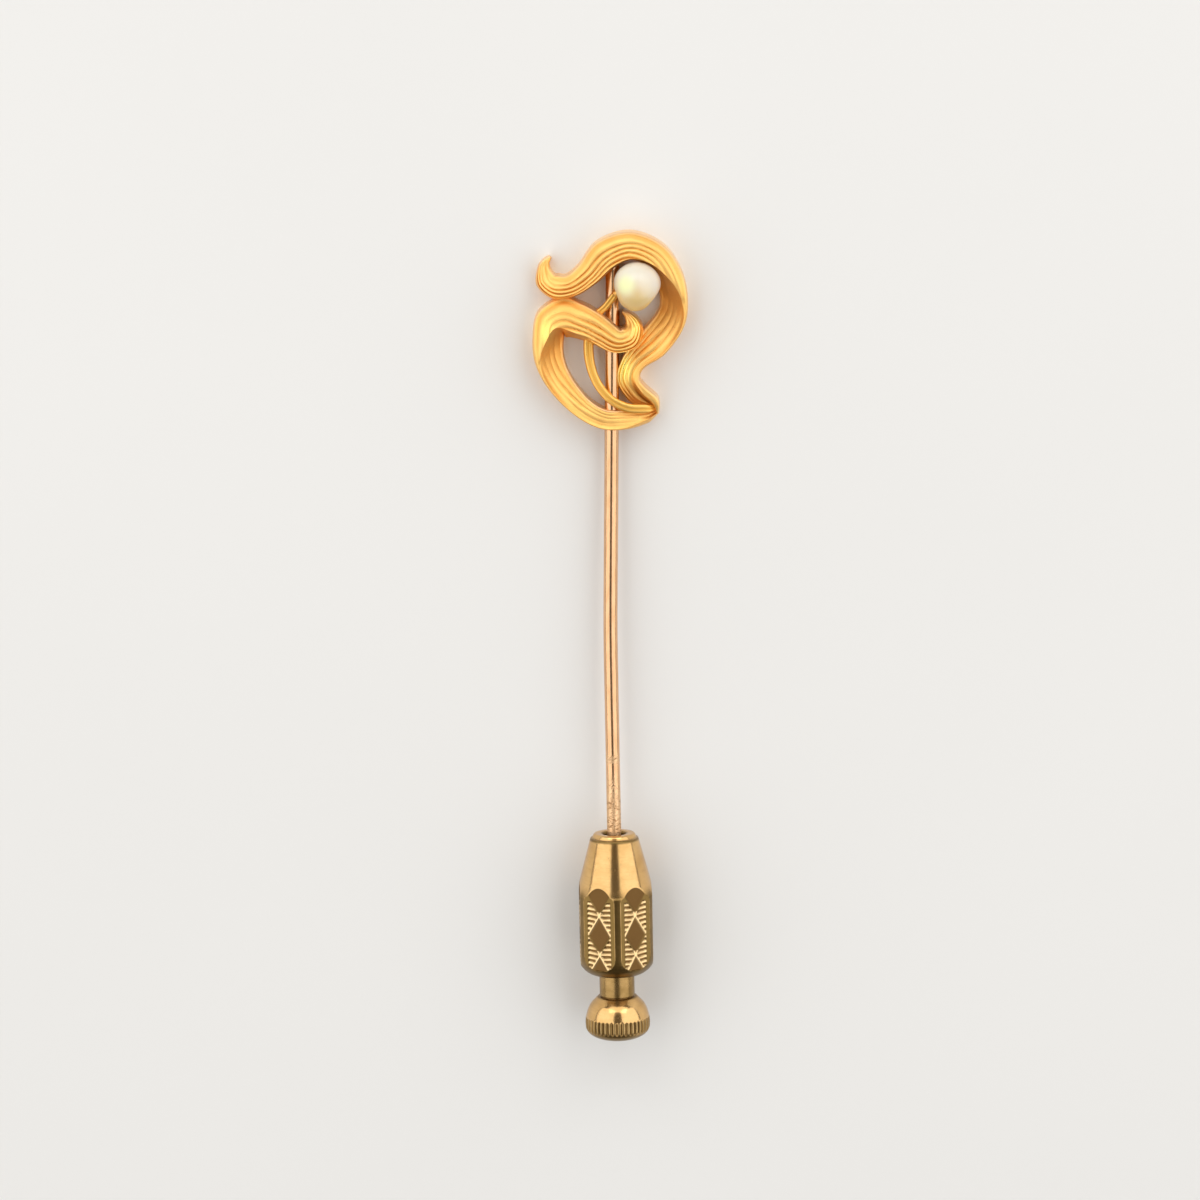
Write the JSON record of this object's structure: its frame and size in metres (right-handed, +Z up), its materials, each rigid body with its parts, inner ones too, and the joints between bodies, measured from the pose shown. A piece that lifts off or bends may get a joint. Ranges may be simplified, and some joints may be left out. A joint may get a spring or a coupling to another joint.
{
  "type": "stick pin",
  "caption": "Stick pin with a head of fluted scrolls and a tendril holding a pearl, on a long round stem with a sprung clutch that slides off the point.",
  "frame": {"origin": "middle of the box round the whole pin, on the surface that it lies on", "axes": "+Z up from the surface, out of the face of the head; +Y along the pin, from the clutch to the head; +X to the right of the upright head"},
  "size_m": [0.0107, 0.0575, 0.0059],
  "materials": {
    "head_gold": "satin rosy yellow gold",
    "pearl": "soft pearl lustre",
    "clutch_gold": "polished, a little tarnished"
  },
  "bodies": {
    "pin": {"scroll_pin": "head_gold", "pearl": "pearl"},
    "clutch": {"clutch_barrel": "clutch_gold"},
    "plunger": {"clutch_plunger": "clutch_gold"}
  },
  "joints": [
    {"name": "clutch_slide", "type": "slide", "parent": "pin", "child": "clutch", "axis": [0.0253, -0.9984, 0.0509], "range_m": [0, 0.011]},
    {"name": "knob_pull", "type": "slide", "parent": "clutch", "child": "plunger", "axis": [0.0253, -0.9984, 0.0509], "range_m": [0, 0.001], "stiffness_N_per_m": 200, "springref_m": -0.0005}
  ]
}
